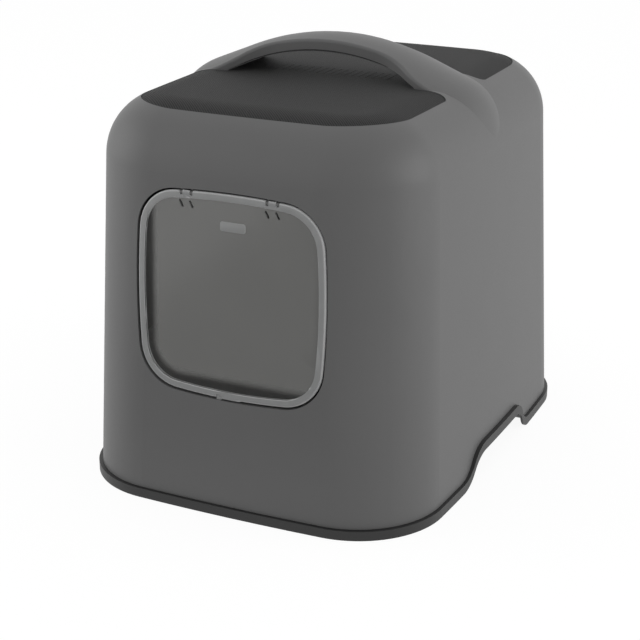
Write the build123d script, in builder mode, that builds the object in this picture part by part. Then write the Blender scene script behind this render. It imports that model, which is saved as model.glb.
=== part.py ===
from build123d import *
import os
from math import atan, cos, degrees, radians, tan

# Front entry litter box: a hood with an arch handle and a swing flap lifts off a tray.
# X runs across the front, the front faces -Y, Z is up, and the floor is Z = 0.

# Overall sizes
overall_width = 395.0
overall_depth = 510.0
overall_height = 443.0
handle_rise = 39.6
roof_height = overall_height - handle_rise

# How far cutting forms run past what they cut
cut_over = 20.0
slight_over = 1.0

# Within this distance, a point counts as lying on a face
touching = 0.05

# Plan outline at the skirt, with sides that bow outward
side_bow = 8.4
end_bow = 7.4
skirt_corner = 94.5

# Hood
hood_inset = 2.94
hood_draft = 2.32
hood_corner = 93.0
hood_wall = 2.5
shoulder_radius = 63.5
seat_gap = 0.3

# Tray
ledge_height = 10.0
tray_wall = 2.5
basin_height = 112.0
basin_gap = 3.0
basin_taper = 7.0
basin_bottom_radius = 38.0
rim_bead = 2.0
rim_bead_height = 5.0

# Hand notch in each long side of the skirt
notch_rise = 27.0
notch_front = -105.0
notch_front_top = -45.0
notch_rear_top = 54.0
notch_rear = 96.0

# Flap opening in the front wall
sill_height = 122.3
opening_width = 208.2
opening_height = 209.6
opening_side_bow = 5.9
opening_end_bow = 6.2
opening_corner = 45.8
opening_centre = sill_height + opening_height / 2

# Flap
flap_gap = 2.0
flap_recess = 0.3
flap_rim_width = 7.0
flap_rim_depth = 3.6
panel_thickness = 2.0
panel_recess = 1.0
panel_lap = 2.2

# Flap hinge, within the depth of the rim
hinge_spacing = 92.0
hinge_drop = 5.4
hinge_setback = 2.8
knuckle_width = 7.6
knuckle_radius = 2.3
ear_thickness = 2.5
ear_gap = 0.4
ear_radius = 2.1
ear_height = 12.0
ear_arm_setback = 1.0
ear_arm = 1.5
pin_radius = 1.2
pin_fit = 0.06
pin_chamfer = 0.3
relief_height = 8.0
relief_width = 2.2
relief_drop = 11.0
relief_lean = -28.0

# Door frame: flange behind the front wall, tunnel round the sill and sides, step below the sill
frame_wall = 2.2
frame_lap = 9.0
frame_relief = 1.6
door_form_drop = 60.0
tunnel_depth_floor = 27.0
tunnel_depth_side = 19.0
tunnel_depth_top = 6.0
tunnel_bottom = -15.0
tunnel_floor_top = 20.0
tunnel_side_bottom = 60.0
tunnel_side_top = 150.0
tunnel_top = 177.0
step_depth = 50.0
step_drop = 4.0
step_top = 48.0

# Flap lock: a ribbed slider in a pocket of the sill, with a tongue that enters the flap's rim
lock_x = -11.0
lock_travel = 9.0
lock_width = 13.0
lock_depth = 10.0
lock_clearance = 0.3
lock_pocket_front = 7.2
lock_pocket_drop = 3.0
lock_pocket_wall = 1.6
lock_bridge = 0.6
lock_tongue = 1.4
lock_tongue_width = 5.0
lock_tongue_setback = 1.4
lock_tongue_height = 5.0
lock_neck_width = 8.0
lock_neck_depth = 5.0
lock_foot_margin = 1.6
lock_foot = 1.5
lock_slot_margin = 0.7
rib_pitch = 2.2
groove_width = 1.0
groove_depth = 0.6

# Roof window and its insert
window_border = 32.5
window_corner = 65.0
window_bow = 5.0
cover_gap = 0.5
cover_recess = 0.8
cover_wall = 2.6
cover_lap = 8.0
cover_lip_wall = 1.6
vent_width = 0.8
vent_length = 30.0
vent_pitch = 8.0
vent_count = 17

# Arch handle
arch_drop = 71.8
arch_crown_radius = 250.0
arch_shoulder_radius = shoulder_radius + 0.5
arch_thickness = 13.0
arch_half_width = 26.0
arch_cross_radius = 120.0
arch_depth = 40.0
arch_edge = 3.0
arch_sink = 0.5
arch_foot_drop = 101.6
arch_skin = 2.6
foot_reach = 40.0
foot_half_width = 46.0
foot_blend = 12.0
flare_inside = 50.0
flare_outside = 20.0
grip_thickness = 1.8
grip_margin = 0.6
grip_end_gap = 6.0

# Odour filter under the roof insert
filter_width = 142.0
filter_depth = 102.0
filter_height = 10.0
filter_corner = 3.0
filter_gap = 2.0
filter_wall = 2.2
filter_frame_height = 17.0
filter_tray_gap = 1.5
filter_tray_seat = 0.4
filter_tray_thickness = 2.2
filter_seat = 0.3
grille_bar = 2.2
grille_pitch = 12.0
grille_columns = 11
grille_rows = 8
filter_hinge_spacing = 104.0
filter_hinge_radius = 3.0
filter_hinge_width = 7.0
filter_hinge_gap = 0.4
filter_pin_radius = 1.6
filter_pin_fit = 0.08
filter_tab_width = 24.0
filter_tab_reach = 8.0
filter_tab_thickness = 1.6

roof_half_width = overall_width / 2 - hood_inset - roof_height * tan(radians(hood_draft))
roof_half_depth = overall_depth / 2 - hood_inset - roof_height * tan(radians(hood_draft))
window_width = 2 * (roof_half_width - window_border)
window_depth = 2 * (roof_half_depth - window_border)
foot_inner = window_width / 2 - foot_reach


def hood_offset(height):
    # How far the hood's outer face stands inside the skirt's outline at a height.
    return hood_inset + height * tan(radians(hood_draft))


def front_face(height):
    # Y of the hood's outer front face on the centre line.
    return -(overall_depth / 2 - hood_offset(height))


def s_curve(start, end, heading):
    # Two equal arcs that leave the start and reach the end along the same heading.
    middle = (start[0] + end[0]) / 2, (start[1] + end[1]) / 2
    first = TangentArc(start, middle, tangent=heading)
    TangentArc(middle, end, tangent=first % 1)


def bowed_outline(width, depth, bow_x, bow_y, corner):
    # A rounded rectangle whose sides bow outward; width and depth are across the bows.
    x = width / 2 - bow_x
    y = depth / 2 - bow_y
    with BuildSketch() as outline:
        with BuildLine():
            ThreePointArc((-x, -y), (0, -depth / 2), (x, -y))
            ThreePointArc((x, -y), (width / 2, 0), (x, y))
            ThreePointArc((x, y), (0, depth / 2), (-x, y))
            ThreePointArc((-x, y), (-width / 2, 0), (-x, -y))
        make_face()
        fillet(outline.vertices(), radius=corner)
    return outline.sketch


def plan_outline(inset, corner):
    # The box's plan, moved in from the skirt's outline.
    return bowed_outline(overall_width - 2 * inset, overall_depth - 2 * inset, side_bow, end_bow, corner)


def hood_solid(inset, bottom):
    # The hood's drafted outer form, moved in by the inset, with its rounded shoulder.
    top = roof_height - inset
    with BuildPart() as form:
        for height in (bottom, top):
            with BuildSketch(Plane.XY.offset(height)):
                add(plan_outline(hood_offset(height) + inset, hood_corner - inset))
        loft()
        fillet(form.faces().sort_by(Axis.Z)[-1].edges(), radius=shoulder_radius - inset)
    return form.part


def opening_plane(y):
    return Plane(origin=(0, y, opening_centre), x_dir=(1, 0, 0), z_dir=(0, -1, 0))


def opening_prism(inset, front, back):
    # The flap opening's outline, moved in by the inset, from the front Y to the back Y.
    width = opening_width - 2 * inset
    height = opening_height - 2 * inset
    with BuildPart() as prism:
        with BuildSketch(opening_plane(front)):
            add(bowed_outline(width, height, opening_side_bow, opening_end_bow, opening_corner - inset))
        extrude(amount=-(back - front))
    return prism.part


def below_notch(lift):
    # Everything under the skirt's lower edge line, raised by the lift.
    reach = overall_depth / 2 + cut_over
    floor = -cut_over
    top = lift + notch_rise
    with BuildPart() as block:
        with BuildSketch(Plane.YZ):
            with BuildLine():
                Line((-reach, lift), (notch_front, lift))
                s_curve((notch_front, lift), (notch_front_top, top), (1, 0))
                Line((notch_front_top, top), (notch_rear_top, top))
                s_curve((notch_rear_top, top), (notch_rear, lift), (1, 0))
                Polyline((notch_rear, lift), (reach, lift), (reach, floor), (-reach, floor), (-reach, lift))
            make_face()
        extrude(amount=overall_width, both=True)
    return block.part


def arch_plan(inset):
    # Half width of the handle along X: slim over the finger gap, wide at the feet.
    near = arch_half_width - inset
    far = foot_half_width - inset
    start = foot_inner - flare_inside
    end = foot_inner + flare_outside
    reach = overall_width / 2
    with BuildSketch() as plan:
        with BuildLine():
            Line((0, near), (start, near))
            s_curve((start, near), (end, far), (1, 0))
            Line((end, far), (reach, far))
            Line((reach, far), (reach, 0))
            mirror(about=Plane.YZ)
            mirror(about=Plane.XZ)
        make_face()
    return plan.sketch


def feet_plan(gap):
    # The plan of the handle's two feet, moved out by the gap.
    with BuildSketch() as plan:
        add(arch_plan(-gap))
        Rectangle(2 * (foot_inner - gap), overall_depth, mode=Mode.SUBTRACT)
    return plan.sketch


def window_plan(gap):
    # The roof window less the handle's feet, moved in by the gap.
    with BuildSketch() as plan:
        width = window_width - 2 * gap
        depth = window_depth - 2 * gap
        add(bowed_outline(width, depth, window_bow, window_bow, window_corner - gap))
        add(feet_plan(gap), mode=Mode.SUBTRACT)
        side = plan.vertices().filter_by(lambda v: abs(abs(v.Y) - foot_half_width - gap) < touching)
        outer = side.filter_by(lambda v: abs(v.X) > foot_inner + flare_outside + touching)
        fillet(outer, radius=foot_blend - gap)
    return plan.sketch


def plan_prism(sketch, bottom, top):
    with BuildPart() as prism:
        with BuildSketch(Plane.XY.offset(bottom)):
            add(sketch)
        extrude(amount=top - bottom)
    return prism.part


# Tray: basin, skirt with the ledge that carries the hood, and hand notches in the long sides
basin_inset = hood_offset(basin_height) + hood_wall + basin_gap
basin_foot_inset = basin_inset + basin_taper
basin_corner = hood_corner - hood_wall - basin_gap


def basin_solid(inset, top):
    # The basin's outer form, moved in by the inset.
    with BuildPart() as form:
        for height, plan_inset in ((inset, basin_foot_inset), (basin_height, basin_inset)):
            with BuildSketch(Plane.XY.offset(height)):
                add(plan_outline(plan_inset + inset, basin_corner - inset))
        loft()
        fillet(form.faces().sort_by(Axis.Z)[0].edges(), radius=basin_bottom_radius - inset)
        if top > basin_height:
            extrude(form.faces().sort_by(Axis.Z)[-1], amount=top - basin_height)
    return form.part


skirt_top = ledge_height + notch_rise + slight_over


def under_web():
    # The hollow inside the skirt and under the web that joins it to the basin.
    with BuildPart() as hollow:
        with BuildSketch():
            add(plan_outline(tray_wall, skirt_corner - tray_wall))
        extrude(amount=skirt_top)
        add(below_notch(ledge_height - tray_wall), mode=Mode.INTERSECT)
    return hollow.part


with BuildPart() as base_tray:
    with BuildSketch():
        add(plan_outline(0, skirt_corner))
    extrude(amount=skirt_top)
    add(below_notch(ledge_height), mode=Mode.INTERSECT)
    add(under_web(), mode=Mode.SUBTRACT)
    add(below_notch(0), mode=Mode.SUBTRACT)
    add(basin_solid(0, basin_height))
    with BuildSketch(Plane.XY.offset(basin_height - rim_bead_height)):
        add(plan_outline(basin_inset - rim_bead, basin_corner + rim_bead))
    extrude(amount=rim_bead_height)
    add(basin_solid(tray_wall, basin_height + slight_over), mode=Mode.SUBTRACT)
base_tray.part.label = "base_tray"

# Hood: one shell with the arch handle, the flap opening and the roof window
arch_half_span = overall_width / 2 - hood_offset(roof_height) - arch_sink
arch_slope = degrees(atan(arch_drop / arch_half_span))
arch_apex = overall_height + arch_crown_radius * (1 / cos(radians(arch_slope)) - 1)
arch_under = overall_height - arch_thickness
arch_foot_height = roof_height - arch_foot_drop


def arch_line(skin):
    # The arch's top line in the XZ plane, from foot to foot, moved in by the skin.
    slope = tan(radians(arch_slope))
    apex = arch_apex - skin / cos(radians(arch_slope))
    outer = arch_half_span - skin
    foot_x = outer + arch_foot_drop * tan(radians(hood_draft))
    shoulder = apex - outer * slope
    bends = arch_shoulder_radius - skin, arch_crown_radius - skin, arch_shoulder_radius - skin
    with BuildLine(Plane.XZ) as line:
        FilletPolyline(
            (-foot_x, arch_foot_height),
            (-outer, shoulder),
            (0, apex),
            (outer, shoulder),
            (foot_x, arch_foot_height),
            radius=bends,
        )
    return line.line


def under_arch(raised):
    # The region under the handle: an arc over the finger gap, down to the roof.
    bottom = roof_height - 2 * shoulder_radius
    with BuildSketch(Plane.XZ) as region:
        with BuildLine():
            left = (-foot_inner, roof_height)
            right = (foot_inner, roof_height)
            ThreePointArc(left, (0, arch_under + raised), right)
            Polyline(right, (foot_inner, bottom), (-foot_inner, bottom), left)
        make_face()
    return region.sketch


def arch_block(skin):
    # The handle's form with its feet, crowned across its width, moved in by the skin.
    line = arch_line(skin)
    with BuildPart() as block:
        with BuildSketch(Plane(origin=line @ 0, x_dir=(0, 1, 0), z_dir=line % 0)):
            with Locations((0, skin - arch_cross_radius)):
                Circle(arch_cross_radius - skin)
            Rectangle(2 * (foot_half_width + cut_over), 2 * arch_depth, mode=Mode.INTERSECT)
        sweep(path=line)
        add(plan_prism(arch_plan(skin), 0, 2 * overall_height), mode=Mode.INTERSECT)
        if skin == 0:
            rims = []
            for edge in block.edges():
                middle = edge @ 0.5
                near_top = line.distance_to(Vertex(middle.X, 0, middle.Z)) < arch_depth / 3
                if near_top and abs(middle.Y) > arch_half_width / 2:
                    rims.append(edge)
            fillet(rims, radius=arch_edge)
    return block.part


def arch_form():
    # The handle with its feet, open under the arch.
    with BuildPart() as form:
        add(arch_block(0))
        extrude(under_arch(0), amount=overall_depth, both=True, mode=Mode.SUBTRACT)
    return form.part


def arch_hollow():
    # The hollows of the arch and of the two feet, with a web left between them.
    web_x = foot_inner + arch_skin / 2
    with BuildPart() as hollow:
        add(arch_block(arch_skin))
        with Locations((web_x, 0, roof_height), (-web_x, 0, roof_height)):
            Box(arch_skin, overall_depth, overall_height, mode=Mode.SUBTRACT)
    return hollow.part


hood_bottom = ledge_height + seat_gap


with BuildPart() as hood_shell:
    add(hood_solid(0, hood_bottom))
    add(arch_block(0))
    add(plan_prism(window_plan(0), roof_height - shoulder_radius, 2 * overall_height), mode=Mode.SUBTRACT)
    add(arch_form())
    add(hood_solid(hood_wall, 0), mode=Mode.SUBTRACT)
    add(arch_hollow(), mode=Mode.SUBTRACT)
    add(opening_prism(0, -overall_depth / 2, -overall_depth / 4), mode=Mode.SUBTRACT)
    add(below_notch(hood_bottom), mode=Mode.SUBTRACT)
hood_shell.part.label = "hood_shell"

# Roof insert: follows the roof and the start of the shoulder, with a lip behind the window's edge
cover_inside = cover_recess + cover_wall


def cover_form(inset, gap):
    # The insert's form at a depth under the roof, within the window's plan moved in by the gap.
    with BuildPart() as form:
        add(hood_solid(inset, roof_height - shoulder_radius))
        bottom = roof_height - shoulder_radius - slight_over
        add(plan_prism(window_plan(gap), bottom, roof_height), mode=Mode.INTERSECT)
    return form.part


with BuildPart() as top_cover:
    add(cover_form(cover_recess, cover_gap))
    add(cover_form(hood_wall, -cover_lap))
    add(cover_form(cover_inside, cover_gap + cover_wall), mode=Mode.SUBTRACT)
    add(hood_solid(hood_wall + cover_lip_wall, 0), mode=Mode.SUBTRACT)
    with BuildSketch(Plane.XY.offset(roof_height)):
        with GridLocations(vent_pitch, 1, vent_count, 1):
            SlotOverall(vent_length, vent_width, rotation=90)
    extrude(amount=-2 * cover_inside, mode=Mode.SUBTRACT)
top_cover.part.label = "top_cover"

# Liner that closes the underside of the handle
grip_width = 2 * (arch_half_width - grip_margin)
grip_length = 2 * (foot_inner - grip_end_gap)
with BuildPart() as handle_grip:
    extrude(under_arch(0), amount=grip_width / 2, both=True)
    with Locations((0, 0, arch_under)):
        Box(grip_length, grip_width, 2 * handle_rise, mode=Mode.INTERSECT)
    extrude(under_arch(-grip_thickness), amount=grip_width, both=True, mode=Mode.SUBTRACT)
handle_grip.part.label = "handle_grip"

# Door frame
hinge_height = sill_height + opening_height - hinge_drop
hinge_y = front_face(hinge_height) + hinge_setback
ear_offset = knuckle_width / 2 + ear_gap + ear_thickness / 2
ear_places = [side * hinge_spacing / 2 + hand * ear_offset for side in (-1, 1) for hand in (-1, 1)]
sill_y = front_face(sill_height)
form_bottom = sill_height - door_form_drop
cut_front = sill_y - cut_over
cut_back = sill_y + 2 * cut_over


def front_slab(near, far):
    # The part of the front wall between two depths behind the hood's outer face.
    with BuildPart() as slab:
        add(hood_solid(near, form_bottom))
        add(hood_solid(far, form_bottom), mode=Mode.SUBTRACT)
    return slab.part


def opening_ring(inset, wall, front, back):
    # A ring along the opening's outline; its outer edge is moved in by the inset.
    with BuildPart() as ring:
        add(opening_prism(inset, front, back))
        add(opening_prism(inset + wall, front - slight_over, back + slight_over), mode=Mode.SUBTRACT)
    return ring.part


def tunnel_side():
    # The tunnel's side view: deep at the sill, shallower up the sides, none at the top corners.
    heights = (tunnel_bottom, tunnel_floor_top, tunnel_side_bottom, tunnel_side_top, tunnel_top)
    depths = (tunnel_depth_floor, tunnel_depth_floor, tunnel_depth_side, tunnel_depth_side, tunnel_depth_top)
    with BuildPart() as side:
        with BuildSketch(Plane.YZ):
            with BuildLine():
                edge = [(sill_y + depths[0], sill_height + heights[0])]
                for height, depth in zip(heights[1:], depths[1:]):
                    edge.append((front_face(sill_height + height) + depth, sill_height + height))
                Polyline((cut_front, edge[0][1]), *edge, (cut_front, edge[-1][1]), close=True)
            make_face()
        extrude(amount=overall_width, both=True)
    return side.part


def lock_pocket(margin, depth, over):
    # The lock's pocket in the sill, as wide as the slider and its travel.
    width = lock_width + lock_travel + 2 * (lock_clearance + margin)
    length = lock_depth + 2 * (lock_clearance + margin)
    with BuildPart() as pocket:
        with BuildSketch(Plane.XY.offset(sill_height - depth)):
            with Locations((lock_x + lock_travel / 2, lock_y)):
                Rectangle(width, length)
        extrude(amount=depth + over)
    return pocket.part


def tunnel():
    # The tunnel behind the flap, along the sill and up both sides.
    with BuildPart() as wall:
        add(opening_ring(-frame_wall, frame_wall, cut_front, cut_back))
        add(tunnel_side(), mode=Mode.INTERSECT)
        add(hood_solid(hood_wall, form_bottom), mode=Mode.INTERSECT)
    return wall.part


def sill_step():
    # The lower step behind the sill: a riser and a second, wider length of tunnel.
    riser_back = sill_y + tunnel_depth_floor
    riser_front = riser_back - frame_wall
    wider = step_drop + frame_wall
    with BuildPart() as step:
        add(opening_ring(-wider, wider, riser_front, riser_back))
        add(opening_ring(-wider, frame_wall, riser_front, sill_y + step_depth))
        with BuildSketch(Plane.XY.offset(sill_height + step_top)):
            Rectangle(overall_width, overall_depth)
        extrude(amount=overall_height, mode=Mode.SUBTRACT)
    return step.part


lock_y = sill_y + lock_pocket_front + lock_clearance + lock_depth / 2
with BuildPart() as door_frame:
    add(opening_ring(-frame_lap, frame_lap - frame_relief, cut_front, cut_back))
    add(front_slab(hood_wall, hood_wall + frame_wall), mode=Mode.INTERSECT)
    add(tunnel())
    add(sill_step())
    for x in ear_places:
        with BuildSketch(Plane.YZ.offset(x - ear_thickness / 2)):
            with Locations((hinge_y, hinge_height)):
                Circle(ear_radius)
            with Locations((hinge_y + ear_arm_setback, hinge_height)):
                Rectangle(ear_arm, ear_height, align=(Align.MIN, Align.MIN))
            with Locations((hinge_y, hinge_height)):
                Circle(pin_radius, mode=Mode.SUBTRACT)
        extrude(amount=ear_thickness)
    add(lock_pocket(lock_pocket_wall, lock_pocket_drop + lock_pocket_wall, 0))
    add(lock_pocket(0, lock_pocket_drop, slight_over), mode=Mode.SUBTRACT)
    with BuildSketch(Plane.XY.offset(sill_height)):
        with Locations((lock_x + lock_travel / 2, lock_y)):
            slot_width = lock_neck_width + lock_travel + 2 * lock_clearance
            Rectangle(slot_width, lock_neck_depth + 2 * lock_clearance)
    extrude(amount=-2 * lock_pocket_drop, mode=Mode.SUBTRACT)
door_frame.part.label = "door_frame"

# Hinge pins: pressed into the ears, free in the flap's rim
pin_length = knuckle_width + 2 * (ear_gap + ear_thickness)
hinge_pins = []
for side, name in ((-1, "hinge_pin_left"), (1, "hinge_pin_right")):
    with BuildPart() as hinge_pin:
        with BuildSketch(Plane.YZ.offset(side * hinge_spacing / 2)):
            with Locations((hinge_y, hinge_height)):
                Circle(pin_radius)
        extrude(amount=pin_length / 2, both=True)
        chamfer(hinge_pin.edges().filter_by(GeomType.CIRCLE), length=pin_chamfer)
    hinge_pin.part.label = name
    hinge_pins.append(hinge_pin)

# Flap: frosted rim with the hinge slots, round a clear panel
panel_inset = flap_gap + flap_rim_width - panel_lap


def relief_plane(x):
    return Plane(origin=(x, hinge_y, hinge_height - relief_drop), x_dir=(1, 0, 0), z_dir=(0, -1, 0))


with BuildPart() as flap_panel:
    add(opening_prism(panel_inset, cut_front, cut_back))
    add(front_slab(panel_recess, panel_recess + panel_thickness), mode=Mode.INTERSECT)
    for x in ear_places:
        with BuildSketch(relief_plane(x)):
            SlotOverall(relief_height, relief_width, rotation=90 - relief_lean)
        extrude(amount=3 * flap_rim_depth, both=True, mode=Mode.SUBTRACT)
flap_panel.part.label = "flap_panel"

tongue_y = sill_y + lock_tongue_setback + lock_tongue / 2
with BuildPart() as flap_rim:
    add(opening_ring(flap_gap, flap_rim_width, cut_front, cut_back))
    add(front_slab(flap_recess, flap_recess + flap_rim_depth), mode=Mode.INTERSECT)
    for x in (-hinge_spacing / 2, hinge_spacing / 2):
        with BuildSketch(Plane.YZ.offset(x)):
            with Locations((hinge_y, hinge_height)):
                Circle(knuckle_radius)
        extrude(amount=pin_length / 2, both=True)
    add(flap_panel.part, mode=Mode.SUBTRACT)
    for x in ear_places:
        with BuildSketch(Plane.XY.offset(hinge_height - ear_radius - ear_gap)):
            with Locations((x, hinge_y)):
                Rectangle(ear_thickness + 2 * ear_gap, 4 * flap_rim_depth)
        extrude(amount=opening_height, mode=Mode.SUBTRACT)
    with BuildSketch(Plane.YZ):
        with Locations((hinge_y, hinge_height)):
            Circle(pin_radius + pin_fit)
    extrude(amount=hinge_spacing / 2 + pin_length / 2, both=True, mode=Mode.SUBTRACT)
    with BuildSketch(Plane.XY.offset(sill_height)):
        with Locations((lock_x, sill_y)):
            Rectangle(lock_tongue_width + 2 * lock_slot_margin, 4 * flap_rim_depth)
        with Locations((lock_x, tongue_y)):
            reach = lock_travel + lock_tongue_width / 2 + lock_slot_margin
            Rectangle(reach, lock_tongue + 2 * lock_clearance, align=(Align.MIN, Align.CENTER))
    extrude(amount=lock_tongue_height + lock_slot_margin, mode=Mode.SUBTRACT)
flap_rim.part.label = "flap_rim"

# Lock slider: grooved pad, tongue for the rim's slot, and a foot that holds it in the pocket
pad_bottom = sill_height - lock_pocket_drop + lock_clearance
pad_top = sill_height + lock_clearance + lock_bridge
neck_height = lock_pocket_wall + 2 * lock_clearance
foot_width = lock_neck_width + 2 * lock_foot_margin
foot_depth = lock_neck_depth + 2 * lock_foot_margin
tongue_front = tongue_y - lock_tongue / 2
with BuildPart() as flap_lock:
    with BuildSketch(Plane.XY.offset(pad_bottom)):
        with Locations((lock_x, lock_y)):
            Rectangle(lock_width, lock_depth)
    extrude(amount=pad_top - pad_bottom)
    with BuildSketch(Plane.XY.offset(pad_top)):
        with Locations((lock_x, lock_y)):
            with GridLocations(rib_pitch, 1, int(lock_width / rib_pitch) - 1, 1):
                Rectangle(groove_width, lock_depth)
    extrude(amount=-groove_depth, mode=Mode.SUBTRACT)
    with BuildSketch(Plane.XY.offset(pad_top - lock_bridge)):
        with Locations((lock_x, tongue_front)):
            Rectangle(lock_tongue_width, lock_y - tongue_front, align=(Align.CENTER, Align.MIN))
    extrude(amount=lock_bridge)
    with BuildSketch(Plane.XY.offset(pad_top - lock_bridge)):
        with Locations((lock_x, tongue_y)):
            Rectangle(lock_tongue_width, lock_tongue)
    extrude(amount=lock_tongue_height - lock_clearance)
    with BuildSketch(Plane.XY.offset(pad_bottom)):
        with Locations((lock_x, lock_y)):
            Rectangle(lock_neck_width, lock_neck_depth)
    extrude(amount=-neck_height)
    with BuildSketch(Plane.XY.offset(pad_bottom - neck_height)):
        with Locations((lock_x, lock_y)):
            Rectangle(foot_width, foot_depth)
    extrude(amount=-lock_foot)
flap_lock.part.label = "flap_lock"

# Odour filter: frame under the roof insert, grille tray that swings down at its rear, filter pad
frame_top = roof_height - cover_inside
frame_bottom = frame_top - filter_frame_height
room_width = filter_width + 2 * filter_gap
room_depth = filter_depth + 2 * filter_gap
filter_hinge_y = room_depth / 2 + filter_wall + filter_hinge_gap + filter_hinge_radius
filter_hinge_z = frame_bottom + filter_hinge_radius
knuckle_places = (-filter_hinge_spacing / 2, filter_hinge_spacing / 2)
filter_ear_offset = filter_hinge_width / 2 + filter_hinge_gap
with BuildPart() as filter_frame:
    with BuildSketch(Plane.XY.offset(frame_bottom)):
        Rectangle(room_width + 2 * filter_wall, room_depth + 2 * filter_wall)
        Rectangle(room_width, room_depth, mode=Mode.SUBTRACT)
    extrude(amount=filter_frame_height)
    for x in knuckle_places:
        with BuildSketch(Plane.XY.offset(frame_bottom)):
            with Locations((x, room_depth / 2 + filter_wall / 2)):
                Rectangle(filter_hinge_width + 2 * filter_hinge_gap, 2 * filter_wall)
        extrude(amount=2 * filter_hinge_radius + filter_hinge_gap, mode=Mode.SUBTRACT)
        outward = 1 if x > 0 else -1
        ear_x = x + outward * filter_ear_offset
        with BuildSketch(Plane.YZ.offset(ear_x)):
            with Locations((filter_hinge_y, filter_hinge_z)):
                Circle(filter_hinge_radius)
                Rectangle(2 * filter_hinge_radius, 2 * filter_hinge_radius, align=(Align.MAX, Align.CENTER))
                Circle(filter_pin_radius + filter_pin_fit, mode=Mode.SUBTRACT)
            with Locations((room_depth / 2, filter_hinge_z)):
                Rectangle(room_depth, room_depth, align=(Align.MAX, Align.CENTER), mode=Mode.SUBTRACT)
        extrude(amount=outward * filter_wall)
filter_frame.part.label = "filter_frame"

plate_width = room_width - 2 * filter_tray_gap
plate_depth = room_depth - 2 * filter_tray_gap
plate_bottom = frame_bottom + filter_tray_seat
with BuildPart() as filter_tray:
    with BuildSketch(Plane.XY.offset(plate_bottom)):
        Rectangle(plate_width, plate_depth)
        with GridLocations(grille_pitch, grille_pitch, grille_columns, grille_rows):
            Rectangle(grille_pitch - grille_bar, grille_pitch - grille_bar, mode=Mode.SUBTRACT)
    extrude(amount=filter_tray_thickness)
    for x in knuckle_places:
        outward = 1 if x > 0 else -1
        with BuildSketch(Plane.YZ.offset(x - filter_hinge_width / 2)):
            with Locations((filter_hinge_y, filter_hinge_z)):
                Circle(filter_hinge_radius)
            with Locations((filter_hinge_y, plate_bottom)):
                arm = filter_hinge_y - plate_depth / 2 + filter_tray_thickness
                Rectangle(arm, filter_tray_thickness, align=(Align.MAX, Align.MIN))
        extrude(amount=filter_hinge_width)
        with BuildSketch(Plane.YZ.offset(x + outward * filter_hinge_width / 2)):
            with Locations((filter_hinge_y, filter_hinge_z)):
                Circle(filter_pin_radius)
        extrude(amount=outward * (filter_hinge_gap + filter_wall))
    with BuildSketch(Plane.XY.offset(frame_bottom - filter_tray_seat)):
        with Locations((0, -plate_depth / 2 + filter_tray_thickness)):
            reach = filter_tab_reach + filter_tray_thickness
            Rectangle(filter_tab_width, reach, align=(Align.CENTER, Align.MAX))
    extrude(amount=-filter_tab_thickness)
    with BuildSketch(Plane.XY.offset(plate_bottom)):
        with Locations((0, -plate_depth / 2)):
            Rectangle(filter_tab_width, filter_tray_thickness, align=(Align.CENTER, Align.MIN))
    extrude(amount=-filter_tab_thickness - 2 * filter_tray_seat)
filter_tray.part.label = "filter_tray"

with BuildPart() as carbon_filter:
    with BuildSketch(Plane.XY.offset(plate_bottom + filter_tray_thickness + filter_seat)):
        RectangleRounded(filter_width, filter_depth, filter_corner)
    extrude(amount=filter_height)
carbon_filter.part.label = "carbon_filter"

os.makedirs("parts", exist_ok=True)
pieces = [base_tray, hood_shell, top_cover, handle_grip, door_frame, *hinge_pins]
pieces += [flap_rim, flap_panel, flap_lock, filter_frame, filter_tray, carbon_filter]
for piece in pieces:
    export_step(piece.part, f"parts/{piece.part.label}.step")
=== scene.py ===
import math

import bmesh
import bpy
from mathutils import Matrix, Vector
from mathutils.bvhtree import BVHTree


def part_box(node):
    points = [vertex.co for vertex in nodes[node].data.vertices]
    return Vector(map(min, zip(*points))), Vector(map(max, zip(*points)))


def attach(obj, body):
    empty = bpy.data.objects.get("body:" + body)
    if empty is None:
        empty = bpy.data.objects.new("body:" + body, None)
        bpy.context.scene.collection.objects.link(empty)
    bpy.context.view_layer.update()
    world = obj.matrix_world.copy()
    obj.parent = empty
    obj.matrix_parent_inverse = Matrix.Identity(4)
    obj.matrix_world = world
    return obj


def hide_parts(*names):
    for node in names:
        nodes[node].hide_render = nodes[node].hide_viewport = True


# A hooded litter box: satin hood with an arch handle, swing flap in the front, low tray below.
# Metres; X runs across the front, the front faces -Y, Z is up.

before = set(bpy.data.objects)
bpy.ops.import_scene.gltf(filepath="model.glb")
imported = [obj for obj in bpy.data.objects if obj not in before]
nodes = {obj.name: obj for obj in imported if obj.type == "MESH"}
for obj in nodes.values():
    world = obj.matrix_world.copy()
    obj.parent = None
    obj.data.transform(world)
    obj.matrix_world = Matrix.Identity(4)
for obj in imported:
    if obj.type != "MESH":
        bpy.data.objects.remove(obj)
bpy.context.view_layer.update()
print("frame loaded:", len(nodes), "nodes")


# ---- shared helpers

sameVertex = 1e-6          # vertices of a frame's node nearer than this are one
farInFront = Vector((0, -1.0, 0))    # where a ray towards the front face starts
inwards = Vector((0, 1, 0))


def linear(hexColour):
    # sRGB hex to the linear colour that a shader socket wants
    channels = []
    for start in (1, 3, 5):
        value = int(hexColour[start:start + 2], 16) / 255
        channels.append(value / 12.92 if value <= 0.04045 else ((value + 0.055) / 1.055) ** 2.4)
    return (*channels, 1.0)


def spreadTones(colour, spread):
    # a darker and a lighter tone, as far to either side of a linear colour
    darker = tuple(c * (1 - spread) for c in colour[:3]) + (1.0,)
    lighter = tuple(c * (1 + spread) for c in colour[:3]) + (1.0,)
    return darker, lighter


def perMetre(millimetres):
    # how many times a pattern of this size repeats in a metre
    return 1000 / millimetres


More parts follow.
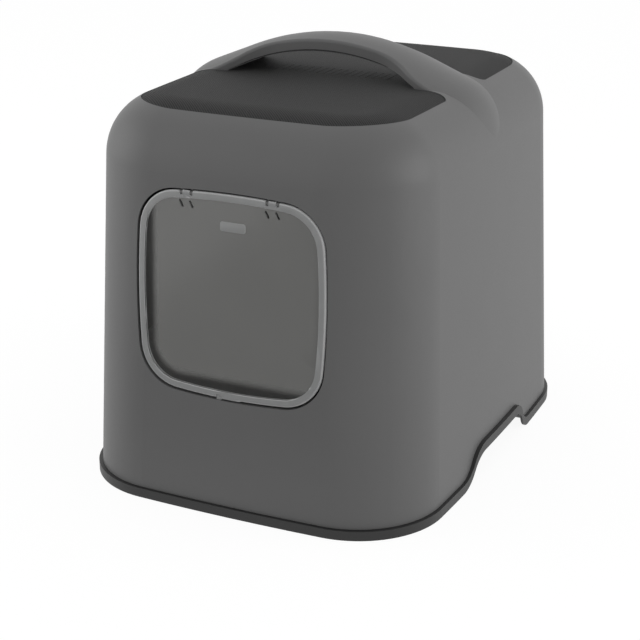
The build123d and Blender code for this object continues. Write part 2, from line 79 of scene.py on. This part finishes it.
def addNode(tree, kind, settings=None, links=None):
    # a node, with settings for its sockets or its own properties, and links to its inputs
    made = tree.nodes.new(kind)
    for key, value in (settings or {}).items():
        if isinstance(key, int) or key in made.inputs:
            made.inputs[key].default_value = value
        else:
            setattr(made, key, value)
    for key, (source, socket) in (links or {}).items():
        tree.links.new(source.outputs[socket], made.inputs[key])
    return made


def newMaterial(name):
    # an empty material with object coordinates and a shader joined to its output
    material = bpy.data.materials.new(name)
    material.use_nodes = True
    tree = material.node_tree
    tree.nodes.clear()
    coords = addNode(tree, "ShaderNodeTexCoord")
    shader = addNode(tree, "ShaderNodeBsdfPrincipled")
    addNode(tree, "ShaderNodeOutputMaterial", links={"Surface": (shader, "BSDF")})
    return material, tree, coords, shader


def feed(tree, source, socket, shader, target):
    tree.links.new(source.outputs[socket], shader.inputs[target])


def dress(piece, material):
    piece.data.materials.clear()
    piece.data.materials.append(material)


def finishMesh(name, made, material, sharpAngle=32):
    # a bmesh becomes an object at the origin, smooth except at its sharp edges
    mesh = bpy.data.meshes.new(name)
    made.to_mesh(mesh)
    made.free()
    piece = bpy.data.objects.new(name, mesh)
    bpy.context.scene.collection.objects.link(piece)
    mesh.shade_smooth()
    mesh.set_sharp_from_angle(angle=math.radians(sharpAngle))
    mesh.materials.append(material)
    return piece


def mergedCopy(nodeName, flatness):
    # a CAD node's triangles joined into one skin, with its flat areas made whole faces again
    made = bmesh.new()
    made.from_mesh(nodes[nodeName].data)
    bmesh.ops.remove_doubles(made, verts=made.verts, dist=sameVertex)
    if flatness:
        bmesh.ops.dissolve_limit(made, angle_limit=math.radians(flatness), verts=made.verts,
                                 edges=made.edges, use_dissolve_boundaries=False, delimit={"NORMAL"})
    return made


# ---- materials

plastic = {
    "hood": "#606060",
    "tray": "#232323",
    "liner": "#2a2a2b",
    "filter": "#303031",
    "grain": 0.9,          # mm, spark-eroded grain drawn coarse enough to show
    "mottle": 70.0,        # mm, the slow change of tone in a large moulding
    "mottleSpread": 0.04,
    "sheenSpread": 0.04,   # how far the grain moves the roughness either way
    "bump": 0.35,
    "ior": 1.49,
}


def mouldedPlastic(name, colour, roughness, grainDepth):
    # Injection moulded polypropylene with a spark-eroded skin: matt, even, a soft sheen at the edges
    material, tree, coords, shader = newMaterial(name)
    darker, lighter = spreadTones(linear(colour), plastic["mottleSpread"])
    mottle = addNode(tree, "ShaderNodeTexNoise", {"Scale": perMetre(plastic["mottle"]), "Detail": 2.0},
                     {"Vector": (coords, "Object")})
    grain = addNode(tree, "ShaderNodeTexNoise", {"Scale": perMetre(plastic["grain"]), "Detail": 3.0},
                    {"Vector": (coords, "Object")})
    tone = addNode(tree, "ShaderNodeMix", {"data_type": "RGBA", 6: darker, 7: lighter}, {0: (mottle, "Fac")})
    feed(tree, tone, 2, shader, "Base Color")
    sheen = addNode(tree, "ShaderNodeMapRange", {"From Min": 0.3, "From Max": 0.7,
                                                 "To Min": roughness - plastic["sheenSpread"],
                                                 "To Max": roughness + plastic["sheenSpread"]},
                    {"Value": (grain, "Fac")})
    feed(tree, sheen, "Result", shader, "Roughness")
    bump = addNode(tree, "ShaderNodeBump", {"Strength": plastic["bump"], "Distance": grainDepth},
                   {"Height": (grain, "Fac")})
    feed(tree, bump, "Normal", shader, "Normal")
    shader.inputs["IOR"].default_value = plastic["ior"]
    return material


hoodPlastic = mouldedPlastic("polypropylene_moulded_hood", plastic["hood"], 0.5, 0.00005)
trayPlastic = mouldedPlastic("polypropylene_moulded_tray", plastic["tray"], 0.5, 0.00005)
framePlastic = mouldedPlastic("polypropylene_moulded_door_frame", plastic["hood"], 0.52, 0.00005)
linerPlastic = mouldedPlastic("thermoplastic_rubber_moulded_liner", plastic["liner"], 0.7, 0.00008)
filterPlastic = mouldedPlastic("polypropylene_moulded_filter_tray", plastic["filter"], 0.55, 0.00005)

insertLook = {
    "face": "#3c3c3c",
    # painted shade: the pits are coloured near black for the shade that falls in them
    "pitShade": "#060606",
    "pitch": 2.0,          # mm between pits
    "pitRadius": 0.35,     # of the pitch
    "pitSoft": 0.14,       # of the pitch, the soft edge of a pit
    "rowTurn": 45,         # degrees, the rows against the front
    "depth": 0.0004,
    "gloss": 0.22,
    "roughness": 0.7,
}


def pittedInsert():
    # Polypropylene with a pressed net of round pits, set in rows at 45 degrees: dark, soft, slightly woven,
    # with painted shade in the pits
    material, tree, coords, shader = newMaterial("polypropylene_embossed_net")
    turned = addNode(tree, "ShaderNodeMapping", {"Rotation": (0, 0, math.radians(insertLook["rowTurn"]))},
                     {"Vector": (coords, "Object")})
    pits = addNode(tree, "ShaderNodeTexVoronoi", {"voronoi_dimensions": "2D", "Randomness": 0.0,
                                                  "Scale": perMetre(insertLook["pitch"])},
                   {"Vector": (turned, "Vector")})
    rise = addNode(tree, "ShaderNodeMapRange", {"interpolation_type": "SMOOTHSTEP",
                                                "From Min": insertLook["pitRadius"] - insertLook["pitSoft"],
                                                "From Max": insertLook["pitRadius"] + insertLook["pitSoft"]},
                   {"Value": (pits, "Distance")})
    # painted shade: the colour goes from the face's grey to near black inside each pit
    tone = addNode(tree, "ShaderNodeMix", {"data_type": "RGBA", 6: linear(insertLook["pitShade"]),
                                           7: linear(insertLook["face"])}, {0: (rise, "Result")})
    feed(tree, tone, 2, shader, "Base Color")
    bump = addNode(tree, "ShaderNodeBump", {"Strength": 1.0, "Distance": insertLook["depth"]},
                   {"Height": (rise, "Result")})
    feed(tree, bump, "Normal", shader, "Normal")
    shader.inputs["Specular IOR Level"].default_value = insertLook["gloss"]
    shader.inputs["Roughness"].default_value = insertLook["roughness"]
    shader.inputs["IOR"].default_value = plastic["ior"]
    return material


insertPlastic = pittedInsert()

flapLook = {
    "rim": "#969797",
    "rimEdgeHighlight": "#f2f3f3",  # painted highlight: the colour the rolled edges take where they turn away from the front
    "panel": "#8b8b89",
    "panelCover": 0.62,    # how much one face of the smoked panel hides of what lies behind
    "borderCover": 0.08,   # the same in the clear border at the left jamb and the sill
    "borderRadius": 0.045,    # corner radius of the panel
    "bowRadius": 2.12,     # the panel follows the hood's front wall, which is bowed and leans back
    "leanBack": 0.0405,
    "borderStart": 0.56,   # the border's inner edge, as a part of that radius
    "borderEnd": 0.80,
    "haze": 12.0,          # mm, soft unevenness of the frosting
    "hazeSpread": 0.08,
    "faceOn": 0.97,        # a face less square to the front than this starts to take the painted highlight
    "edgeOn": 0.6,         # and one this much turned takes it fully
    "rimRough": 0.28,
    "rimClear": 0.12,      # how much light the rim lets through
    "panelHaze": 60.0,     # mm, the slow change of tone in the panel
    "panelSpread": 0.03,
    "panelRough": 0.12,
    "ior": 1.57,
}


def frostedPlastic():
    # Copolyester with a frosted skin: pale grey and a little clear, with a painted highlight making its
    # rounded edges bright
    material, tree, coords, shader = newMaterial("copolyester_frosted_rim")
    haze = addNode(tree, "ShaderNodeTexNoise", {"Scale": perMetre(flapLook["haze"]), "Detail": 2.0},
                   {"Vector": (coords, "Object")})
    grain = addNode(tree, "ShaderNodeTexNoise", {"Scale": perMetre(plastic["grain"]), "Detail": 2.0},
                    {"Vector": (coords, "Object")})
    darker, lighter = spreadTones(linear(flapLook["rim"]), flapLook["hazeSpread"])
    tone = addNode(tree, "ShaderNodeMix", {"data_type": "RGBA", 6: darker, 7: lighter}, {0: (haze, "Fac")})
    # painted highlight: faces turned away from the front are coloured near-white, standing in for the light
    # caught along the rolled edges
    facing = addNode(tree, "ShaderNodeSeparateXYZ", links={"Vector": (coords, "Normal")})
    square = addNode(tree, "ShaderNodeMath", {"operation": "ABSOLUTE"}, {0: (facing, "Y")})
    edge = addNode(tree, "ShaderNodeMapRange",
                   {"From Min": flapLook["faceOn"], "From Max": flapLook["edgeOn"]},
                   {"Value": (square, "Value")})
    lit = addNode(tree, "ShaderNodeMix", {"data_type": "RGBA", 7: linear(flapLook["rimEdgeHighlight"])},
                  {0: (edge, "Result"), 6: (tone, 2)})
    feed(tree, lit, 2, shader, "Base Color")
    bump = addNode(tree, "ShaderNodeBump", {"Strength": 0.3, "Distance": 0.00003}, {"Height": (grain, "Fac")})
    feed(tree, bump, "Normal", shader, "Normal")
    shader.inputs["Roughness"].default_value = flapLook["rimRough"]
    shader.inputs["IOR"].default_value = flapLook["ior"]
    shader.inputs["Transmission Weight"].default_value = flapLook["rimClear"]
    return material


def smokedPlastic():
    # Smoked polycarbonate, polished: a grey veil with a clear gloss, the tunnel shows through it
    material, tree, coords, shader = newMaterial("polycarbonate_smoked_panel")
    haze = addNode(tree, "ShaderNodeTexNoise", {"Scale": perMetre(flapLook["panelHaze"]), "Detail": 1.0},
                   {"Vector": (coords, "Object")})
    darker, lighter = spreadTones(linear(flapLook["panel"]), flapLook["panelSpread"])
    tone = addNode(tree, "ShaderNodeMix", {"data_type": "RGBA", 6: darker, 7: lighter}, {0: (haze, "Fac")})
    feed(tree, tone, 2, shader, "Base Color")
    low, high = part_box("flap_panel")
    place = addNode(tree, "ShaderNodeSeparateXYZ", links={"Vector": (coords, "Object")})
    reach = flapLook["borderRadius"]
    fromLeft = addNode(tree, "ShaderNodeMapRange", {"From Min": low.x, "From Max": low.x + reach,
                                                    "To Min": 1.0, "To Max": 0.0}, {"Value": (place, "X")})
    fromSill = addNode(tree, "ShaderNodeMapRange", {"From Min": low.z, "From Max": low.z + reach,
                                                    "To Min": 1.0, "To Max": 0.0}, {"Value": (place, "Z")})
    corner = addNode(tree, "ShaderNodeCombineXYZ",
                     links={"X": (fromLeft, "Result"), "Y": (fromSill, "Result")})
    outward = addNode(tree, "ShaderNodeVectorMath", {"operation": "LENGTH"}, {0: (corner, "Vector")})
    cover = addNode(tree, "ShaderNodeMapRange", {"interpolation_type": "SMOOTHSTEP",
                                                 "From Min": flapLook["borderStart"],
                                                 "From Max": flapLook["borderEnd"],
                                                 "To Min": flapLook["panelCover"],
                                                 "To Max": flapLook["borderCover"]},
                    {"Value": (outward, "Value")})
    feed(tree, cover, "Result", shader, "Alpha")
    bow = addNode(tree, "ShaderNodeMath", {"operation": "DIVIDE", 1: flapLook["bowRadius"]},
                  {0: (place, "X")})
    across = addNode(tree, "ShaderNodeCombineXYZ", {"Y": -1.0, "Z": flapLook["leanBack"]},
                     {"X": (bow, "Value")})
    turned = addNode(tree, "ShaderNodeVectorTransform",
                     {"vector_type": "NORMAL", "convert_from": "OBJECT", "convert_to": "WORLD"},
                     {"Vector": (across, "Vector")})
    feed(tree, turned, "Vector", shader, "Normal")
    shader.inputs["Roughness"].default_value = flapLook["panelRough"]
    shader.inputs["IOR"].default_value = flapLook["ior"]
    return material


rimPlastic = frostedPlastic()
panelPlastic = smokedPlastic()


pinLook = {
    "steel": "#c4c6c8",
    "line": 0.2,           # mm between the drawing lines
    "stretch": 0.02,       # how much slower the lines change along the pin
    "smooth": 0.22,
    "rough": 0.38,
}


def drawnSteel():
    # Drawn stainless wire: bright, with fine lines along the pin
    material, tree, coords, shader = newMaterial("stainless_steel_drawn")
    stretched = addNode(tree, "ShaderNodeMapping", {"Scale": (pinLook["stretch"], 1.0, 1.0)},
                        {"Vector": (coords, "Object")})
    lines = addNode(tree, "ShaderNodeTexNoise", {"Scale": perMetre(pinLook["line"]), "Detail": 2.0},
                    {"Vector": (stretched, "Vector")})
    rough = addNode(tree, "ShaderNodeMapRange", {"To Min": pinLook["smooth"], "To Max": pinLook["rough"]},
                    {"Value": (lines, "Fac")})
    feed(tree, rough, "Result", shader, "Roughness")
    shader.inputs["Base Color"].default_value = linear(pinLook["steel"])
    shader.inputs["Metallic"].default_value = 1.0
    return material


pinSteel = drawnSteel()

padLook = {
    "fibre": "#2b2b2c",
    "gap": "#101011",
    "fibreSize": 1.6,      # mm, the tangle of the felt
    "round": 0.003,        # how far the edges are rounded over
}


def carbonFelt():
    # Needled polyester felt filled with carbon: nearly black, fuzzy, no gloss
    material, tree, coords, shader = newMaterial("polyester_felt_carbon_filled")
    tangle = addNode(tree, "ShaderNodeTexNoise", {"Scale": perMetre(padLook["fibreSize"]), "Detail": 5.0,
                                                  "Roughness": 0.7, "Distortion": 1.5},
                     {"Vector": (coords, "Object")})
    tone = addNode(tree, "ShaderNodeMix", {"data_type": "RGBA", 6: linear(padLook["gap"]),
                                           7: linear(padLook["fibre"])}, {0: (tangle, "Fac")})
    feed(tree, tone, 2, shader, "Base Color")
    bump = addNode(tree, "ShaderNodeBump", {"Strength": 0.9, "Distance": 0.0004}, {"Height": (tangle, "Fac")})
    feed(tree, bump, "Normal", shader, "Normal")
    shader.inputs["Roughness"].default_value = 0.95
    shader.inputs["Sheen Weight"].default_value = 0.3
    return material


felt = carbonFelt()

for nodeName, material in {
    "base_tray": trayPlastic,
    "hood_shell": hoodPlastic,
    "top_cover": insertPlastic,
    "handle_grip": linerPlastic,
    "door_frame": framePlastic,
    "hinge_pin_left": pinSteel,
    "hinge_pin_right": pinSteel,
    "flap_lock": rimPlastic,
    "filter_frame": filterPlastic,
    "filter_tray": filterPlastic,
}.items():
    dress(nodes[nodeName], material)
print("materials on the frame's own nodes")


# ---- flap rim: the frame's rim with its front edges rolled over

rimShape = {
    "round": 0.0022,       # on the outer edge, which is as deep as the rim
    "lipRound": 0.0005,    # on the inner edge, which is the lip in front of the panel
    "lipDepth": 0.0015,    # a side face shallower than this belongs to the lip
    "segments": 4,
    "flat": 0.3,           # degrees; flatter edges than this are merged away first
    "speck": 0.0001,       # and shorter ones than this
    "sharp": 40,           # degrees; an edge that turns more than this is rolled
    "frontNormal": -0.9,   # a face this square to the front can belong to the rim's face
    "frontDepth": 0.0005,  # and nothing lies further in front of it than this
    "inward": 0.0003,      # how far inside the face that is tested
    "hingeX": 0.046,       # the rim stays square beside the hinge slots and the lock's slot
    "hingeHalf": 0.0095,
    "lockX": (-0.019, 0.010),
    "slotReach": 0.012,
}


def besideSlot(place, low, high):
    atHinge = abs(abs(place.x) - rimShape["hingeX"]) < rimShape["hingeHalf"]
    atLock = rimShape["lockX"][0] < place.x < rimShape["lockX"][1]
    nearTop = place.z > high.z - rimShape["slotReach"]
    nearSill = place.z < low.z + rimShape["slotReach"]
    return (atHinge and nearTop) or (atLock and nearSill)


def frontMost(face, edge, tree):
    # whether the edge's face is the first thing that is met from the front
    middle = (edge.verts[0].co + edge.verts[1].co) / 2
    inside = middle + (face.calc_center_median() - middle).normalized() * rimShape["inward"]
    hit = tree.ray_cast(farInFront + Vector((inside.x, 0, inside.z)), inwards)[0]
    return hit is not None and abs(hit.y - inside.y) < rimShape["frontDepth"]


def rolledRim():
    low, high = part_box("flap_rim")
    made = mergedCopy("flap_rim", rimShape["flat"])
    bmesh.ops.dissolve_degenerate(made, dist=rimShape["speck"], edges=made.edges)
    tree = BVHTree.FromBMesh(made)
    outer, lip = [], []
    for edge in made.edges:
        if not edge.is_manifold or edge.calc_face_angle(0) < math.radians(rimShape["sharp"]):
            continue
        front = [face for face in edge.link_faces if face.normal.y < rimShape["frontNormal"]]
        middle = (edge.verts[0].co + edge.verts[1].co) / 2
        if len(front) == 1 and frontMost(front[0], edge, tree) and not besideSlot(middle, low, high):
            side = [face for face in edge.link_faces if face not in front][0]
            depths = [vert.co.y for vert in side.verts]
            shallow = max(depths) - min(depths) < rimShape["lipDepth"]
            (lip if shallow else outer).append(edge)
    for edges, offset in ((lip, rimShape["lipRound"]), (outer, rimShape["round"])):
        live = [edge for edge in edges if edge.is_valid]
        bmesh.ops.bevel(made, geom=live, offset=offset, offset_type="OFFSET", affect="EDGES",
                        segments=rimShape["segments"], profile=0.5, material=-1, clamp_overlap=False)
    return finishMesh("flap_rim_rolled", made, rimPlastic)


rim = rolledRim()
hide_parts("flap_rim")
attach(rim, "flap")
print("flap rim:", len(rim.data.polygons), "faces")


# ---- flap panel: the frame's panel with one smooth skin, so that its gloss shows no facets

panel = finishMesh("flap_panel_polished", mergedCopy("flap_panel", 0), panelPlastic)
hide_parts("flap_panel")
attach(panel, "flap")


# ---- blank plate moulded on the panel

plateShape = {
    "centre": (0.0045, 0.2985),    # X and Z
    "size": (0.027, 0.0092),
    "corner": 0.0022,
    "rise": 0.0003,
    "root": 0.0010,        # how far the plate reaches into the panel
    "edge": 0.00015,
}


def panelFront(x, z):
    # the panel's front surface at a place on it
    hit, place, normal, index = panel.ray_cast(farInFront + Vector((x, 0, z)), inwards)
    return place


def blankPlate():
    centreX, centreZ = plateShape["centre"]
    width, height = plateShape["size"]
    low = panelFront(centreX, centreZ - height / 2)
    high = panelFront(centreX, centreZ + height / 2)
    lean = math.atan2(high.y - low.y, high.z - low.z)
    made = bmesh.new()
    bmesh.ops.create_grid(made, x_segments=1, y_segments=1, size=0.5)
    bmesh.ops.scale(made, vec=(width, height, 1), verts=made.verts)
    bmesh.ops.bevel(made, geom=made.verts[:], offset=plateShape["corner"], offset_type="OFFSET",
                    affect="VERTICES", segments=5, profile=0.5, material=-1)
    raised = bmesh.ops.extrude_face_region(made, geom=made.faces[:])
    top = [item for item in raised["geom"] if isinstance(item, bmesh.types.BMVert)]
    bmesh.ops.translate(made, vec=(0, 0, plateShape["root"] + plateShape["rise"]), verts=top)
    rims = [edge for edge in made.edges if all(vert in top for vert in edge.verts)]
    bmesh.ops.bevel(made, geom=rims, offset=plateShape["edge"], offset_type="OFFSET", affect="EDGES",
                    segments=2, profile=0.5, material=-1)
    bmesh.ops.translate(made, vec=(0, 0, -plateShape["root"]), verts=made.verts)
    upright = Matrix.Rotation(math.radians(90) - lean, 4, "X")
    bmesh.ops.transform(made, matrix=Matrix.Translation((low + high) / 2) @ upright, verts=made.verts)
    bmesh.ops.recalc_face_normals(made, faces=made.faces)
    return finishMesh("flap_blank_plate", made, rimPlastic)


bpy.context.view_layer.update()
plate = blankPlate()
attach(plate, "flap")
print("blank plate:", len(plate.data.polygons), "faces")


# ---- filter pad

def feltPad():
    low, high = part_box("carbon_filter")
    centre, size = (low + high) / 2, high - low
    made = bmesh.new()
    bmesh.ops.create_cube(made, size=1.0)
    bmesh.ops.scale(made, vec=size, verts=made.verts)
    bmesh.ops.bevel(made, geom=made.edges[:], offset=padLook["round"], offset_type="OFFSET", affect="EDGES",
                    segments=4, profile=0.5, material=-1)
    bmesh.ops.subdivide_edges(made, edges=made.edges[:], cuts=3, use_grid_fill=True)
    bmesh.ops.translate(made, vec=centre, verts=made.verts)
    return finishMesh("carbon_felt_pad", made, felt, 60)


pad = feltPad()
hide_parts("carbon_filter")
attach(pad, "filter_door")
print("filter pad:", len(pad.data.polygons), "faces")


# ---- studio: floor, lamps, background and camera

studio = {
    "floorSize": 12.0,
    "floor": "#e6e6e6",
    "glow": 0.92,
    "shadow": 0.12,        # the floor's own grey, which lamplight adds to the glow and shadow takes away
    "dimGloss": 0.26,      # what a gloss meets on the dim patch of floor in front
    "dimX": (-0.55, 0.1),
    "dimY": (-1.7, -0.4),
    "dimSoft": 0.09,
    "ambient": 0.58,
    "right": {"place": (2.4, 0.5, 0.6), "size": 2.0, "power": 25.0},
    "left": {"place": (-2.4, -0.8, 0.7), "size": 2.0, "power": 16.0},
    "top": {"place": (0.0, -0.3, 2.6), "size": 2.0, "power": 2.0},
    "aim": (0.0, 0.0, 0.2),
}

view = {
    "sensor": 36.0,        # mm
    "lens": 91.77,         # mm
    "place": (0.7151, -1.5332, 0.7491),
    "tilt": 69.77,         # degrees up from straight down
    "turn": 25.57,         # degrees round Z
}


def whiteRays(tree):
    # 1 for the rays that should meet a white studio: seen directly, in a gloss or through a clear piece
    path = addNode(tree, "ShaderNodeLightPath")
    first = addNode(tree, "ShaderNodeMath", {"operation": "MAXIMUM"},
                    {0: (path, "Is Camera Ray"), 1: (path, "Is Glossy Ray")})
    return addNode(tree, "ShaderNodeMath", {"operation": "MAXIMUM"},
                   {0: (first, "Value"), 1: (path, "Is Transmission Ray")})


def softBand(tree, place, axis, limits):
    # 1 between the two limits along the axis and 0 beyond them, with soft ends
    soft = studio["dimSoft"]
    rise = addNode(tree, "ShaderNodeMapRange", {"interpolation_type": "SMOOTHSTEP",
                                                "From Min": limits[0] - soft, "From Max": limits[0] + soft},
                   {"Value": (place, axis)})
    fall = addNode(tree, "ShaderNodeMapRange", {"interpolation_type": "SMOOTHSTEP",
                                                "From Min": limits[1] - soft, "From Max": limits[1] + soft,
                                                "To Min": 1.0, "To Max": 0.0}, {"Value": (place, axis)})
    return addNode(tree, "ShaderNodeMath", {"operation": "MULTIPLY"},
                   {0: (rise, "Result"), 1: (fall, "Result")})


def studioFloor():
    made = bmesh.new()
    bmesh.ops.create_grid(made, x_segments=1, y_segments=1, size=studio["floorSize"] / 2)
    mesh = bpy.data.meshes.new("studio_floor")
    made.to_mesh(mesh)
    made.free()
    floor = bpy.data.objects.new("studio_floor", mesh)
    bpy.context.scene.collection.objects.link(floor)
    material = bpy.data.materials.new("painted_studio_floor")
    material.use_nodes = True
    tree = material.node_tree
    tree.nodes.clear()
    plain = addNode(tree, "ShaderNodeBsdfDiffuse", {"Color": linear(studio["floor"])})
    coords = addNode(tree, "ShaderNodeTexCoord")
    place = addNode(tree, "ShaderNodeSeparateXYZ", links={"Vector": (coords, "Object")})
    inside = [softBand(tree, place, axis, studio["dim" + axis]) for axis in ("X", "Y")]
    patch = addNode(tree, "ShaderNodeMath", {"operation": "MULTIPLY"},
                    {0: (inside[0], "Value"), 1: (inside[1], "Value")})
    lit = addNode(tree, "ShaderNodeMapRange", {"To Min": studio["glow"], "To Max": studio["dimGloss"]},
                  {"Value": (patch, "Value")})
    path = addNode(tree, "ShaderNodeLightPath")
    strength = addNode(tree, "ShaderNodeMix", {"data_type": "FLOAT", "A": studio["glow"]},
                       {"Factor": (path, "Is Glossy Ray"), "B": (lit, "Result")})
    glow = addNode(tree, "ShaderNodeEmission", {"Color": (1, 1, 1, 1)}, {"Strength": (strength, "Result")})
    thin = addNode(tree, "ShaderNodeBsdfDiffuse", {"Color": (*[studio["shadow"]] * 3, 1)})
    both = addNode(tree, "ShaderNodeAddShader", links={0: (glow, "Emission"), 1: (thin, "BSDF")})
    seen = whiteRays(tree)
    mix = addNode(tree, "ShaderNodeMixShader",
                  links={0: (seen, "Value"), 1: (plain, "BSDF"), 2: (both, "Shader")})
    addNode(tree, "ShaderNodeOutputMaterial", links={"Surface": (mix, "Shader")})
    mesh.materials.append(material)


def studioWorld():
    world = bpy.data.worlds.new("studio")
    bpy.context.scene.world = world
    world.use_nodes = True
    tree = world.node_tree
    tree.nodes.clear()
    soft = addNode(tree, "ShaderNodeBackground", {"Color": (1, 1, 1, 1), "Strength": studio["ambient"]})
    white = addNode(tree, "ShaderNodeBackground", {"Color": (1, 1, 1, 1), "Strength": 1.0})
    seen = whiteRays(tree)
    mix = addNode(tree, "ShaderNodeMixShader",
                  links={0: (seen, "Value"), 1: (soft, "Background"), 2: (white, "Background")})
    addNode(tree, "ShaderNodeOutputWorld", links={"Surface": (mix, "Shader")})


def areaLamp(name, place, size, power):
    data = bpy.data.lights.new(name, "AREA")
    data.shape = "SQUARE"
    data.size = size
    data.energy = power
    lamp = bpy.data.objects.new(name, data)
    lamp.location = place
    lamp.rotation_euler = (Vector(studio["aim"]) - Vector(place)).to_track_quat("-Z", "Y").to_euler()
    bpy.context.scene.collection.objects.link(lamp)


def studioCamera():
    data = bpy.data.cameras.new("camera")
    data.sensor_width = view["sensor"]
    data.lens = view["lens"]
    camera = bpy.data.objects.new("camera", data)
    camera.location = view["place"]
    camera.rotation_euler = (math.radians(view["tilt"]), 0, math.radians(view["turn"]))
    bpy.context.scene.collection.objects.link(camera)
    bpy.context.scene.camera = camera


studioFloor()
studioWorld()
for side in ("right", "left", "top"):
    areaLamp("lamp_" + side, **studio[side])
studioCamera()
bpy.context.scene.view_settings.view_transform = "Standard"
print("studio ready")
